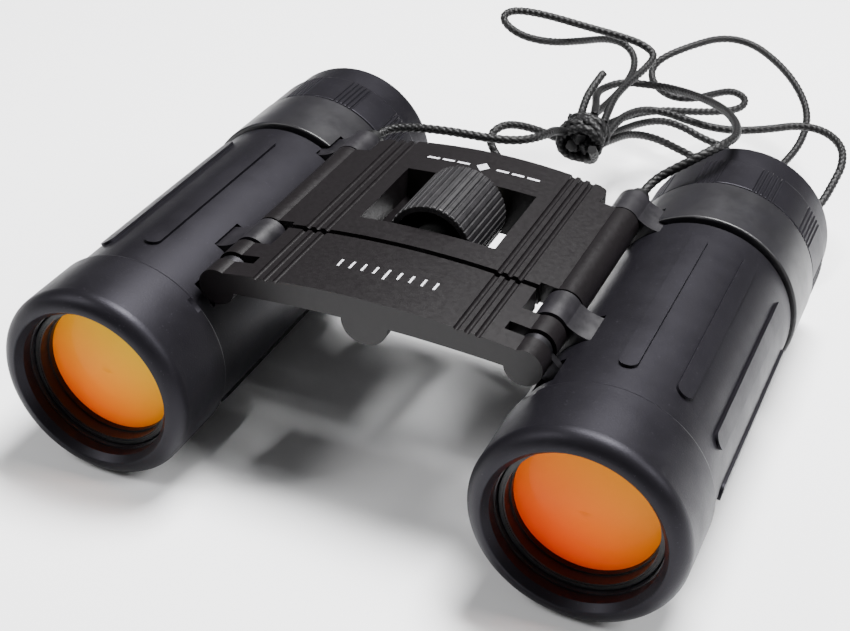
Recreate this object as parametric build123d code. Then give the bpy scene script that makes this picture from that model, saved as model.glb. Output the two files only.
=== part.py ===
from build123d import *
import math
import os

# Compact roof-prism binoculars with two folding hinges and a sliding focus bridge.
#
# Working frame, in millimetres: X across, Z up from the level of the two hinge axes, and Y is the
# station along the instrument, counted from the rim of the objective caps towards the eyes.
# The right-hand half is modelled and mirrored for the left. On export everything moves so that the
# origin is under the middle of the opened instrument, on the table it lies on.

# ---- hinge layout ----
HINGE_X = 25.3            # hinge axis to the centre plane
HINGE_REACH = 19.65       # hinge axis to barrel axis
OPEN_SLOPE = 43.9         # degrees that the reach points below level with the barrels opened
KNUCKLE_R = 3.05
ROD_R = 1.25
RUNNING_FIT = 0.05        # radial clearance of a turning or sliding fit
SLIDING_FIT = 0.08        # radial clearance of the wide lens tubes
SEAT_FIT = 0.02           # radial clearance of a seated piece
MOVING_GAP = 0.4          # free space between pieces that pass each other

# ---- lengths along a barrel, from the front rim ----
CAP_LENGTH = 13.95
ARMOUR_LENGTH = 51.05
ARMOUR_GROOVE = 0.8
SLEEVE_LENGTH = 13.3
EYECUP_GAP = 0.3
EYECUP_LENGTH = 16.5

ARMOUR_BACK = CAP_LENGTH + ARMOUR_LENGTH
SLEEVE_FRONT = ARMOUR_BACK + ARMOUR_GROOVE
SLEEVE_BACK = SLEEVE_FRONT + SLEEVE_LENGTH
EYECUP_FRONT = SLEEVE_BACK + EYECUP_GAP
OVERALL_LENGTH = EYECUP_FRONT + EYECUP_LENGTH

# ---- radii about a barrel's axis ----
CAP_R = 16.5
ARMOUR_R = 15.85
SLEEVE_R = 16.6
EYECUP_R = 16.0
SHELL_R = 13.9
SHELL_BORE_R = 12.6
APERTURE_R = 12.8         # opening in the objective cap
BAR_HEIGHT = 0.5
BAR_WIDTH = 2.9
BAR_LENGTH = 40.5
BAR_FRONT = 19.5
BAR_COUNT = 8
BAR_PITCH = 32.5          # degrees between raised bars

# ---- bridge ----
BRIDGE_CROWN = 4.64       # top of the plates above the hinge level, on the centre line
BRIDGE_SHOULDER = 3.14    # top of the plates at the shoulder
BRIDGE_SHOULDER_X = 22.0
BRIDGE_BELLY = 0.5        # underside on the centre line
BRIDGE_BELLY_SIDE = -0.5  # underside at the shoulder
FRONT_PLATE_FRONT = 16.0
FRONT_PLATE_BACK = 32.3
REAR_PLATE_FRONT = 33.5
REAR_PLATE_BACK = 69.0
REAR_PLATE_CORNER = 67.2
FRONT_KNUCKLE_BACK = 26.3
MID_LUG_FRONT = 27.2
MID_LUG_LENGTH = 6.7
LONG_KNUCKLE_FRONT = MID_LUG_FRONT + MID_LUG_LENGTH + MOVING_GAP
LONG_KNUCKLE_BACK = 62.7
REAR_LUG_FRONT = LONG_KNUCKLE_BACK + 0.3
REAR_LUG_LENGTH = 7.0
NOTCH_X = 21.2            # inner side of the plate corners cut away for the lugs
SLOT_FRONT = 19.9         # slot in the front knuckles that takes the objective arms
SLOT_WIDTH = 2.2
SLOT_INNER_X = 20.8
WINDOW_HALF_WIDTH = 11.7
WINDOW_FRONT = 39.0
WINDOW_BACK = 57.9
WELL_WALL = 1.1           # walls around the wheel's window, under the rear plate
WELL_SHOULDER = -0.9
WELL_FLOOR = -4.3
WELL_MOUTH = 6.7          # half the opening at the bottom of the well
PLATE_CORNER_R = 1.3
GROOVE_X = (14.8, 16.5, 18.2)
GROOVE_R = 0.5

# ---- focus drive ----
WHEEL_AXIS_Z = 0.9
WHEEL_R = 7.4
WHEEL_FRONT = 40.2
WHEEL_LENGTH = 15.4
WHEEL_RIDGES = 40
GRIP_WALL = 1.1
GRIP_GROOVE_R = 0.3
SCREW_R = 2.0
BOSS_R = 3.9
FOCUS_FORWARD = 3.0       # travel of the front bridge from rest towards near focus
FOCUS_BACK = 0.5          # travel the other way
SCREW_FRONT = 17.5
SCREW_LENGTH = 36.0
JOURNAL_R = 2.0
JOURNAL_LENGTH = 5.5
ROD_FRONT = 17.8
ROD_BACK = 71.0
SOCKET_R = 1.75
SOCKET_LENGTH = 3.0
SOCKET_FLANGE_R = 2.4
SOCKET_FLANGE = 0.9
PIN_R = 0.75              # cross pin that fixes the lead screw
PIN_SETBACK = 4.0
PIN_LENGTH = 5.6

# ---- optics and their mounts ----
CELL_FRONT = 3.7
CELL_LENGTH = 21.9
OBJECTIVE_R = 11.75
OBJECTIVE_CLEAR_R = 11.2
OBJECTIVE_CURVE = 48.0    # radius of the front surface and of the cemented one
OBJECTIVE_BACK_CURVE = 140.0
LENS_SETBACK = 1.7        # front vertex of the objective behind its cell's rim
CELL_BORE_R = 11.4        # bore of the cell behind its lens seat
LUG_FOOT_R = 15.1         # the lugs' feet lie in pockets of the armour
LUG_POCKET_GAP = 0.35
CROWN_THICKNESS = 3.6
FLINT_THICKNESS = 1.6
ARM_THICKNESS = 1.4
ARM_WIDTH = 3.6
ARM_EYE_R = 2.6
PRISM_APERTURE = 10.5
PRISM_FRONT = 40.0
CAGE_FRONT = 38.6
CAGE_LENGTH = 18.4
CAGE_WALL_GAP = 0.15
STOP_STATION = 59.2
OCULAR_FRONT = 62.4
OCULAR_LENGTH = 28.6
OCULAR_NECK_R = 11.5
RING_R = 13.4
RING_LENGTH = 10.8
EYE_LENS_R = 8.6
FIELD_LENS_R = 9.4
RIDGE_GROUPS = 10
RIDGES_IN_GROUP = 4

# ---- neck cord ----
CORD_R = 0.85
KNOT_CENTRE = (5.0, 56.5, 23.2)
KNOT_R = 5.0
KNOT_LENGTH = 9.5

OPEN_ANGLE = math.radians(OPEN_SLOPE)
BARREL_X = HINGE_X + HINGE_REACH * math.cos(OPEN_ANGLE)
BARREL_DROP = HINGE_REACH * math.sin(OPEN_ANGLE)
TABLE_Z = -BARREL_DROP - SLEEVE_R
PIN_STATION = SCREW_FRONT + PIN_SETBACK
ALONG_Y = Rotation(-90, 0, 0)   # turns a Z-axis primitive so that it runs along +Y


# ---- shared helpers ----
def rod(radius, front, back, x=0.0, z=0.0):
    """A cylinder along Y between two stations."""
    shape = Cylinder(radius, back - front, align=(Align.CENTER, Align.CENTER, Align.MIN))
    return Pos(x, front, z) * (ALONG_Y * shape)


def turned(*corners):
    """A ring turned about Y from (radius, station) corners; a third value rounds that corner."""
    outline = make_face(Polyline(*[(corner[0], corner[1]) for corner in corners], close=True))
    profile = Sketch() + outline
    for corner in corners:
        if len(corner) == 3:
            spot = Vector(corner[0], corner[1], 0)
            profile = fillet(profile.vertices().sort_by_distance(spot)[0], corner[2])
    return revolve(profile, Axis.Y, 360)


def block(x_low, x_high, y_low, y_high, z_low, z_high):
    """A box given by its faces."""
    shape = Box(x_high - x_low, y_high - y_low, z_high - z_low)
    return Pos((x_low + x_high) / 2, (y_low + y_high) / 2, (z_low + z_high) / 2) * shape


def sag(curve, radius):
    """How far a surface of this curvature falls back at this radius; the sign follows the curve."""
    return math.copysign(abs(curve) - math.sqrt(curve ** 2 - radius ** 2), curve)


def lens(radius, vertex, front_curve, thickness, back_curve):
    """A lens along Y; a positive curve bulges towards the front, a negative one towards the eye."""
    def surface(station, curve):
        half = radius / 2
        return ThreePointArc((0, station), (half, station + sag(curve, half)),
                             (radius, station + sag(curve, radius)))
    front = surface(vertex, front_curve)
    back = surface(vertex + thickness, back_curve)
    edge = Line(front @ 1, back @ 1)
    axis = Line(back @ 0, front @ 0)
    return revolve(make_face([front, edge, back, axis]), Axis.Y, 360)


def on_barrel(shape):
    """Moves a shape modelled about Y onto the right barrel's axis."""
    return Pos(BARREL_X, 0, -BARREL_DROP) * shape


def polar(radius, degrees):
    """A point about the right barrel's axis; the angle runs from straight up towards the outside."""
    turn = math.radians(degrees)
    return (BARREL_X + radius * math.sin(turn), -BARREL_DROP + radius * math.cos(turn))


def arch(x):
    """Height of the bridge plates' top at x, a circle through crown and shoulders."""
    rise = BRIDGE_CROWN - BRIDGE_SHOULDER
    curve = (BRIDGE_SHOULDER_X ** 2 + rise ** 2) / (2 * rise)
    return BRIDGE_CROWN - sag(curve, abs(x))


def extrude_y(face_xz, front, back):
    """Extrudes a sketch drawn with (x, z) points, from one station to another."""
    plane = Plane(origin=(0, back, 0), x_dir=(1, 0, 0), z_dir=(0, -1, 0))
    return extrude(plane * face_xz, back - front)


# ---- bridge ----
def bridge_section():
    """Cross-section of both plates: a low arch between the two knuckles."""
    inner = HINGE_X - KNUCKLE_R * 0.4
    top = ThreePointArc((-inner, arch(inner)), (0, BRIDGE_CROWN), (inner, arch(inner)))
    low_side = BRIDGE_BELLY_SIDE - 0.1
    right = Line((inner, arch(inner)), (inner, low_side))
    belly = ThreePointArc((inner, low_side), (0, BRIDGE_BELLY), (-inner, low_side))
    left = Line((-inner, low_side), (-inner, arch(inner)))
    return make_face([top, right, belly, left])


def plate_grooves(front, back):
    """Round-bottomed grooves that run the whole length of a plate, three on each side."""
    cutters = [rod(GROOVE_R, front - 1, back + 1, x=side * x, z=arch(x) + 0.08)
               for side in (-1, 1) for x in GROOVE_X]
    return cutters


def corner_cut(side, front, back):
    """The piece cut from a plate corner so that a barrel lug can turn there."""
    outer = HINGE_X + KNUCKLE_R + 1
    low, high = sorted((side * NOTCH_X, side * outer))
    return block(low, high, front, back, -5, BRIDGE_CROWN + 1)


def build_front_bridge_plate():
    """Moulded plate that slides; its knuckles hold the rods' front ends and the objective arms."""
    plate = extrude_y(bridge_section(), FRONT_PLATE_FRONT, FRONT_PLATE_BACK)
    plate += rod(BOSS_R, FRONT_PLATE_FRONT, FRONT_PLATE_BACK - 3, z=WHEEL_AXIS_Z - 0.3)
    for side in (-1, 1):
        plate += rod(KNUCKLE_R, FRONT_PLATE_FRONT, FRONT_KNUCKLE_BACK, x=side * HINGE_X)
    plate -= plate_grooves(FRONT_PLATE_FRONT, FRONT_PLATE_BACK)
    rod_relief = ROD_FRONT - FOCUS_BACK - 0.3
    for side in (-1, 1):
        plate -= corner_cut(side, FRONT_KNUCKLE_BACK, FRONT_PLATE_BACK + 1)
        low, high = sorted((side * SLOT_INNER_X, side * (HINGE_X + KNUCKLE_R + 1)))
        plate -= block(low, high, SLOT_FRONT, SLOT_FRONT + SLOT_WIDTH, -5, BRIDGE_CROWN + 1)
        plate -= rod(ROD_R + RUNNING_FIT, rod_relief, FRONT_PLATE_BACK, x=side * HINGE_X)
    plate -= rod(SCREW_R + SEAT_FIT, SCREW_FRONT - 0.05, FRONT_PLATE_BACK + 1, z=WHEEL_AXIS_Z)
    plate -= Pos(0, PIN_STATION, WHEEL_AXIS_Z - 2) * Cylinder(PIN_R + SEAT_FIT, 8)
    return plate


def build_focus_screw():
    """Steel lead screw fixed in the front bridge; its thread is modelled at its outer size."""
    screw = rod(SCREW_R, SCREW_FRONT, SCREW_FRONT + SCREW_LENGTH, z=WHEEL_AXIS_Z)
    screw = chamfer(screw.edges().sort_by(Axis.Y)[-1], 0.4)
    return screw - Pos(0, PIN_STATION, WHEEL_AXIS_Z - 2) * Cylinder(PIN_R + SEAT_FIT, 8)


def build_screw_pin():
    """Cross pin that stops the lead screw from turning in its boss."""
    top = WHEEL_AXIS_Z + 1.9
    return Pos(0, PIN_STATION, top - PIN_LENGTH / 2) * Cylinder(PIN_R, PIN_LENGTH)


def round_off(side):
    """What rounds a rear corner of the rear plate, seen from above."""
    centre_x = NOTCH_X - PLATE_CORNER_R
    centre_y = REAR_PLATE_CORNER + 0.4 - PLATE_CORNER_R
    low, high = sorted((side * centre_x, side * (NOTCH_X + 1)))
    corner = block(low, high, centre_y, REAR_PLATE_BACK + 1, BRIDGE_BELLY_SIDE - 2, BRIDGE_CROWN + 1)
    return corner - Pos(side * centre_x, centre_y, 0) * Cylinder(PLATE_CORNER_R, 20)


def wheel_well(wall, front, back):
    """The funnel around the wheel, or with no wall its inside, open below."""
    top = WINDOW_HALF_WIDTH + wall
    mouth = WELL_MOUTH + wall
    floor = WELL_FLOOR if wall else WELL_FLOOR - 1
    low = [(mouth, floor), (-mouth, floor)]
    section = [(-top, BRIDGE_BELLY), (top, BRIDGE_BELLY), (top, WELL_SHOULDER)] + low + [(-top, WELL_SHOULDER)]
    return extrude_y(make_face(Polyline(*section, close=True)), front, back)


def build_rear_bridge_plate():
    """Moulded plate with the wheel's window and well, both long knuckles and the screw bosses."""
    plate = extrude_y(bridge_section(), REAR_PLATE_FRONT, REAR_PLATE_BACK)
    bow = extrude(make_face([
        ThreePointArc((-40, REAR_PLATE_CORNER - 3.0), (0, REAR_PLATE_BACK), (40, REAR_PLATE_CORNER - 3.0)),
        Line((40, REAR_PLATE_CORNER - 3.0), (40, 0)), Line((40, 0), (-40, 0)),
        Line((-40, 0), (-40, REAR_PLATE_CORNER - 3.0))]), 10, both=True)
    plate = plate & bow
    front_boss = rod(BOSS_R, REAR_PLATE_FRONT, WINDOW_FRONT, z=WHEEL_AXIS_Z - 0.3)
    rear_boss = rod(BOSS_R, WINDOW_BACK, WINDOW_BACK + JOURNAL_LENGTH + 2, z=WHEEL_AXIS_Z - 0.3)
    plate = plate + front_boss + rear_boss
    plate += wheel_well(WELL_WALL, WINDOW_FRONT - WELL_WALL, WINDOW_BACK + WELL_WALL)
    plate -= wheel_well(0, WINDOW_FRONT, WINDOW_BACK)
    for side in (-1, 1):
        plate += rod(KNUCKLE_R, LONG_KNUCKLE_FRONT, LONG_KNUCKLE_BACK, x=side * HINGE_X)
    plate -= plate_grooves(REAR_PLATE_FRONT, REAR_PLATE_BACK)
    plate -= block(-WINDOW_HALF_WIDTH, WINDOW_HALF_WIDTH, WINDOW_FRONT, WINDOW_BACK, BRIDGE_BELLY - 0.1, 6)
    for side in (-1, 1):
        plate -= corner_cut(side, REAR_PLATE_FRONT - 1, LONG_KNUCKLE_FRONT)
        plate -= corner_cut(side, LONG_KNUCKLE_BACK, REAR_PLATE_BACK + 1)
        plate -= rod(ROD_R + SEAT_FIT, 0, REAR_PLATE_BACK, x=side * HINGE_X)
    plate -= rod(SCREW_R + RUNNING_FIT, 0, WINDOW_FRONT + 1, z=WHEEL_AXIS_Z)
    journal_bore = WINDOW_BACK + JOURNAL_LENGTH
    plate -= rod(JOURNAL_R + RUNNING_FIT, WINDOW_BACK - 1, journal_bore, z=WHEEL_AXIS_Z)
    return plate - [round_off(side) for side in (-1, 1)]


def build_hinge_rod(side):
    """Steel rod through the rear lug, long knuckle and mid lug into the front knuckle."""
    return rod(ROD_R, ROD_FRONT, ROD_BACK, x=side * HINGE_X)


def build_strap_socket(side):
    """Turned steel socket on the rod's rear end: it keeps the barrel on and takes the cord."""
    front = REAR_LUG_FRONT + REAR_LUG_LENGTH + 0.2
    back = front + SOCKET_LENGTH
    flange = rod(SOCKET_FLANGE_R, front, front + SOCKET_FLANGE, x=side * HINGE_X)
    socket = flange + rod(SOCKET_R, front, back, x=side * HINGE_X)
    return socket - rod(ROD_R + SEAT_FIT, front - 1, ROD_BACK, x=side * HINGE_X)


# ---- focus wheel ----
def build_focus_wheel_grip():
    """Ridged rubber sleeve of the focus wheel."""
    back = WHEEL_FRONT + WHEEL_LENGTH
    inner = WHEEL_R - GRIP_WALL
    grip = turned((inner, WHEEL_FRONT), (WHEEL_R, WHEEL_FRONT, 0.35), (WHEEL_R, back, 0.35), (inner, back))
    grip = Pos(0, 0, WHEEL_AXIS_Z) * grip
    cutters = []
    for number in range(WHEEL_RIDGES):
        turn = 2 * math.pi * number / WHEEL_RIDGES
        x = (WHEEL_R + 0.05) * math.sin(turn)
        z = WHEEL_AXIS_Z + (WHEEL_R + 0.05) * math.cos(turn)
        cutters.append(rod(GRIP_GROOVE_R, WHEEL_FRONT - 1, back + 1, x=x, z=z))
    return grip - cutters


def build_focus_nut():
    """Moulded hub inside the grip, threaded on the lead screw, with a blind journal at the rear."""
    back = WHEEL_FRONT + WHEEL_LENGTH
    outer = WHEEL_R - GRIP_WALL - SEAT_FIT
    web = WHEEL_FRONT + 5.8
    nose = WINDOW_FRONT + 0.7
    bore = SCREW_R + RUNNING_FIT
    floor = SCREW_FRONT + SCREW_LENGTH + FOCUS_BACK + 0.6
    journal_back = WINDOW_BACK + JOURNAL_LENGTH - 0.4
    hub = turned((bore, nose), (3.3, nose, 0.3), (3.3, web), (outer, web), (outer, back),
                 (JOURNAL_R, back), (JOURNAL_R, journal_back), (0, journal_back), (0, floor), (bore, floor))
    return Pos(0, 0, WHEEL_AXIS_Z) * hub


def build_thrust_washers():
    """Two nylon washers that take up the play of the wheel in its window."""
    back = WHEEL_FRONT + WHEEL_LENGTH
    front_washer = turned((SCREW_R + 0.15, WINDOW_FRONT + 0.02), (3.3, WINDOW_FRONT + 0.02),
                          (3.3, WINDOW_FRONT + 0.6), (SCREW_R + 0.15, WINDOW_FRONT + 0.6))
    rear_washer = turned((JOURNAL_R + 0.1, back + 0.1), (4.2, back + 0.1),
                         (4.2, WINDOW_BACK - 0.02), (JOURNAL_R + 0.1, WINDOW_BACK - 0.02))
    return Pos(0, 0, WHEEL_AXIS_Z) * (front_washer + rear_washer)


# ---- barrel, right-hand side ----
def lug_section(grow=0.0):
    """Section of a barrel lug: a round knuckle that sweeps down and out into the shell's wall."""
    slope = math.radians(OPEN_SLOPE)
    inner_side = 0.85 * KNUCKLE_R + grow
    spread = math.degrees(grow / ARMOUR_R)
    lift = KNUCKLE_R + grow
    knuckle = Pos(HINGE_X, 0) * Circle(lift)
    crown = (HINGE_X + lift * math.cos(math.radians(62)), lift * math.sin(math.radians(62)))
    foot = polar(LUG_FOOT_R + grow, -27 + spread)
    root_top = polar(SHELL_BORE_R + 0.4 - grow, -28 + spread)
    root_low = polar(SHELL_BORE_R + 0.4 - grow, -60 - spread)
    tail = (HINGE_X - inner_side * math.sin(slope), -inner_side * math.cos(slope))
    dip = ((crown[0] + foot[0]) / 2 - 0.3, (crown[1] + foot[1]) / 2 - 0.65)
    sweep_down = ThreePointArc(crown, dip, foot)
    web = make_face([sweep_down, Line(foot, root_top), Line(root_top, root_low), Line(root_low, tail),
                     Line(tail, crown)])
    return Sketch() + knuckle + web


def lug_pair(grow=0.0):
    """Both lugs of a barrel; grown, they are the openings for the lugs in the covering sleeves."""
    mid = extrude_y(lug_section(grow), MID_LUG_FRONT - grow, MID_LUG_FRONT + MID_LUG_LENGTH + grow)
    rear_back = REAR_LUG_FRONT + REAR_LUG_LENGTH
    rear = extrude_y(lug_section(grow), REAR_LUG_FRONT - grow, rear_back + grow)
    return [mid, rear]


def arm_slot(grow=0.0):
    """Where the objective's arm passes out to the hinge, with room for the focus travel."""
    station = SLOT_FRONT + SLOT_WIDTH / 2
    front = station - ARM_THICKNESS / 2 - FOCUS_FORWARD - grow
    back = station + ARM_THICKNESS / 2 + FOCUS_BACK + grow
    bar = block(-HINGE_REACH, -OBJECTIVE_R - 0.3, front, back, -ARM_WIDTH / 2 - grow, ARM_WIDTH / 2 + grow)
    return on_barrel(Rotation(0, OPEN_SLOPE, 0) * bar)


def hinge_relief():
    """Space around the hinge axis that the bridge's knuckles sweep."""
    front = FRONT_PLATE_FRONT - FOCUS_FORWARD - MOVING_GAP
    return rod(KNUCKLE_R + MOVING_GAP, front, LONG_KNUCKLE_BACK + 0.1, x=HINGE_X)


def build_barrel_shell():
    """Glass-filled body tube with its two hinge lugs, the objective bore and the prism seat."""
    seat = CAGE_FRONT - 2.4
    shell = on_barrel(turned((SHELL_BORE_R, 3.0), (SHELL_R, 3.0, 0.4), (SHELL_R, SLEEVE_BACK - 0.6),
                             (SHELL_BORE_R, SLEEVE_BACK - 0.6)))
    shell += lug_pair()
    shell -= on_barrel(rod(SHELL_BORE_R, MID_LUG_FRONT - 2, SLEEVE_BACK))
    shell += on_barrel(turned((8.0, seat), (SHELL_BORE_R + 0.5, seat), (SHELL_BORE_R + 0.5, seat + 2),
                              (8.0, seat + 2)))
    shell -= rod(ROD_R + RUNNING_FIT, 0, OVERALL_LENGTH, x=HINGE_X)
    return shell - arm_slot(0.3)


def armour_bar(angle):
    """A raised round-ended bar of the armour, before it is trimmed to its height."""
    outline = SlotOverall(BAR_LENGTH, BAR_WIDTH, rotation=90)
    bar = extrude(Pos(0, BAR_FRONT + BAR_LENGTH / 2) * outline, ARMOUR_R + 4)
    return Rotation(0, angle, 0) * bar


def build_armour_sleeve():
    """Rubber armour over the shell, with raised bars on every side but the hinge's."""
    inner = SHELL_R + SEAT_FIT
    sleeve = turned((inner, CAP_LENGTH), (ARMOUR_R, CAP_LENGTH, 0.3), (ARMOUR_R, ARMOUR_BACK, 0.3),
                    (inner, ARMOUR_BACK))
    raised = turned((ARMOUR_R - 0.5, CAP_LENGTH + 1), (ARMOUR_R + BAR_HEIGHT, CAP_LENGTH + 1),
                    (ARMOUR_R + BAR_HEIGHT, ARMOUR_BACK - 1), (ARMOUR_R - 0.5, ARMOUR_BACK - 1))
    bars = Part() + [armour_bar(BAR_PITCH * number) for number in range(BAR_COUNT)]
    sleeve = on_barrel(sleeve + (raised & bars))
    return sleeve - lug_pair(LUG_POCKET_GAP) - hinge_relief() - arm_slot(0.5)


def build_front_cap():
    """Soft rubber guard around the objective, with a rounded rim."""
    inner = SHELL_R + SEAT_FIT
    cap = on_barrel(turned((APERTURE_R, 1.2), (APERTURE_R + 0.9, 0.0, 0.3), (CAP_R, 0.0, 2.6),
                           (CAP_R, CAP_LENGTH - 0.05, 0.5), (inner, CAP_LENGTH - 0.05), (inner, 2.95),
                           (APERTURE_R, 2.95)))
    return cap - hinge_relief()


def build_rear_sleeve():
    """Hard sleeve between the armour and the eyecup."""
    inner = SHELL_R + SEAT_FIT
    sleeve = on_barrel(turned((inner, SLEEVE_FRONT), (SLEEVE_R, SLEEVE_FRONT, 0.4),
                              (SLEEVE_R, SLEEVE_BACK, 0.3), (inner, SLEEVE_BACK)))
    return sleeve - lug_pair(LUG_POCKET_GAP)


def prism_profiles():
    """The two prisms in the (y, z) plane: a half-penta prism and a roof prism across a thin gap."""
    half = PRISM_APERTURE / 2
    tilt = math.tan(math.radians(22.5))
    reach = 2.3 * half
    bottom = -half - reach * tilt
    gap_end = (half - bottom) * 0.83
    first = [(0, half), (0, -half), (reach, bottom), (gap_end, half - gap_end)]
    gap = 0.2
    exit_station = 2.72 * half
    toe = half - exit_station
    side = (exit_station - 0.5 * half)
    long_side = side * math.sqrt(2)
    first_corner = (exit_station - side + gap, toe + side + gap)
    second = [(exit_station + gap, toe + gap), first_corner, (exit_station + gap, toe + long_side)]
    return first, second


def prism_solid(points):
    """A glass block of constant width from a (y, z) outline."""
    plane = Plane(origin=(-PRISM_APERTURE / 2, PRISM_FRONT, 0), x_dir=(0, 1, 0), z_dir=(1, 0, 0))
    return extrude(plane * make_face(Polyline(*points, close=True)), PRISM_APERTURE)


def build_half_prism():
    return on_barrel(prism_solid(prism_profiles()[0]))


def build_roof_prism():
    """Its upper face is cut to a right-angled roof that swaps left and right."""
    outline = prism_profiles()[1]
    block_of_glass = prism_solid(outline)
    start, end = outline[1], outline[2]
    run = Vector(0, end[0] - start[0], end[1] - start[1]).normalized()
    ridge = Vector(0, PRISM_FRONT + start[0], start[1]) - run * 5
    plane = Plane(origin=ridge, x_dir=(1, 0, 0), z_dir=run)
    down = -1 if plane.y_dir.Z > 0 else 1
    wedge = make_face(Polyline((0, 0), (30, 30 * down), (-30, 30 * down), close=True))
    return on_barrel(block_of_glass & extrude(plane * wedge, 40))


def build_prism_cage():
    """Moulded holder that fills the shell's bore around the prisms."""
    cage_back = CAGE_FRONT + CAGE_LENGTH
    outer = SHELL_BORE_R - SEAT_FIT
    cage = rod(outer, CAGE_FRONT, cage_back)
    half = PRISM_APERTURE / 2 + CAGE_WALL_GAP
    first, second = prism_profiles()
    low = min(point[1] for point in first + second)
    high = max(point[1] for point in first + second)
    back = max(point[0] for point in first + second)
    cavity = block(-half, half + 0.6, PRISM_FRONT - 0.1, PRISM_FRONT + back + 0.1, low - 0.2, high + 0.2)
    return on_barrel(cage - cavity - rod(PRISM_APERTURE / 2, CAGE_FRONT - 1, cage_back + 1))


def build_prism_clip():
    """Flat spring that presses both prisms against the cage's side."""
    x = PRISM_APERTURE / 2 + 0.03
    return on_barrel(block(x, x + 0.4, PRISM_FRONT + 2, PRISM_FRONT + 12, -4, 2))


def build_field_stop():
    return on_barrel(turned((5.8, STOP_STATION), (SHELL_BORE_R - SEAT_FIT, STOP_STATION),
                            (SHELL_BORE_R - SEAT_FIT, STOP_STATION + 1.2), (6.2, STOP_STATION + 1.2)))


# ---- objective, right-hand side ----
def build_objective_cell():
    """Sliding tube that carries the objective lens, notched for the arm that pulls it."""
    outer = SHELL_BORE_R - SLIDING_FIT
    back = CELL_FRONT + CELL_LENGTH
    lip = OBJECTIVE_CLEAR_R - 0.1
    vertex = CELL_FRONT + LENS_SETBACK + CROWN_THICKNESS + FLINT_THICKNESS
    seat = vertex - sag(OBJECTIVE_BACK_CURVE, lip) + 0.05
    bore = OBJECTIVE_R + SEAT_FIT
    cell = on_barrel(turned((bore, CELL_FRONT), (outer, CELL_FRONT, 0.25), (outer, back),
                            (CELL_BORE_R, back), (CELL_BORE_R, seat + 1.5), (lip, seat + 1.5), (lip, seat), (bore, seat)))
    return cell - arm_bar(SEAT_FIT)


def arm_bar(grow=0.0):
    """The straight part of the arm, from inside the cell's wall to the hinge axis."""
    station = SLOT_FRONT + SLOT_WIDTH / 2
    half = ARM_THICKNESS / 2 + grow
    bar = block(-HINGE_REACH, -OBJECTIVE_R, station - half, station + half,
                -ARM_WIDTH / 2 - grow, ARM_WIDTH / 2 + grow)
    return on_barrel(Rotation(0, OPEN_SLOPE, 0) * bar)


def build_objective_arm():
    """Stamped steel arm; its eye sits in the front knuckle's slot, around the hinge rod."""
    station = SLOT_FRONT + SLOT_WIDTH / 2
    front = station - ARM_THICKNESS / 2
    back = station + ARM_THICKNESS / 2
    eye = rod(ARM_EYE_R, front, back, x=HINGE_X)
    return arm_bar() + eye - rod(ROD_R + RUNNING_FIT, 0, OVERALL_LENGTH, x=HINGE_X)


def build_objective_retainer():
    """Stepped and blackened ring that holds the lens in its cell."""
    front = CELL_FRONT + 0.15
    back = CELL_FRONT + LENS_SETBACK + sag(OBJECTIVE_CURVE, OBJECTIVE_CLEAR_R)
    outer = OBJECTIVE_R
    return on_barrel(turned((OBJECTIVE_CLEAR_R + 0.3, front), (outer, front), (outer, back),
                            (OBJECTIVE_CLEAR_R, back), (OBJECTIVE_CLEAR_R, back - 0.9),
                            (OBJECTIVE_CLEAR_R + 0.3, back - 0.9)))


def build_objective_crown():
    """Front element of the cemented doublet, with the coloured coating."""
    vertex = CELL_FRONT + LENS_SETBACK
    return on_barrel(lens(OBJECTIVE_R, vertex, OBJECTIVE_CURVE, CROWN_THICKNESS, -OBJECTIVE_CURVE))


def build_objective_flint():
    vertex = CELL_FRONT + LENS_SETBACK + CROWN_THICKNESS + 0.02
    return on_barrel(lens(OBJECTIVE_R, vertex, -OBJECTIVE_CURVE, FLINT_THICKNESS - 0.02,
                          -OBJECTIVE_BACK_CURVE))


# ---- eyepiece, right-hand side ----
def build_ocular_tube():
    """Tube of the eyepiece: a wide guide in the shell and a neck inside the ring."""
    guide = SHELL_BORE_R - SLIDING_FIT
    guide_back = OCULAR_FRONT + 14.6
    back = OCULAR_FRONT + OCULAR_LENGTH
    field_bore = FIELD_LENS_R + SEAT_FIT
    eye_bore = EYE_LENS_R + SEAT_FIT
    return on_barrel(turned((field_bore, OCULAR_FRONT), (guide, OCULAR_FRONT, 0.3), (guide, guide_back),
                            (OCULAR_NECK_R, guide_back), (OCULAR_NECK_R, back, 0.8), (7.8, back, 0.4),
                            (7.8, back - 1.4), (eye_bore, back - 1.4), (eye_bore, back - 7.2),
                            (8.0, back - 7.2), (8.0, OCULAR_FRONT + 6.5), (field_bore, OCULAR_FRONT + 6.5)))


def build_field_lens():
    return on_barrel(lens(FIELD_LENS_R, OCULAR_FRONT + 1.6, 38.0, 3.6, -38.0))


def build_eye_lens():
    back = OCULAR_FRONT + OCULAR_LENGTH
    return on_barrel(lens(EYE_LENS_R, back - 7.0, 26.0, 4.6, -30.0))


def build_eyepiece_ring():
    """Ring around the eyepiece's neck; on the right it turns to set the diopter."""
    front = EYECUP_FRONT + 0.1
    inner = OCULAR_NECK_R + SLIDING_FIT
    return on_barrel(turned((inner, front), (RING_R, front), (RING_R, front + RING_LENGTH, 0.4),
                            (inner, front + RING_LENGTH)))


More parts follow.
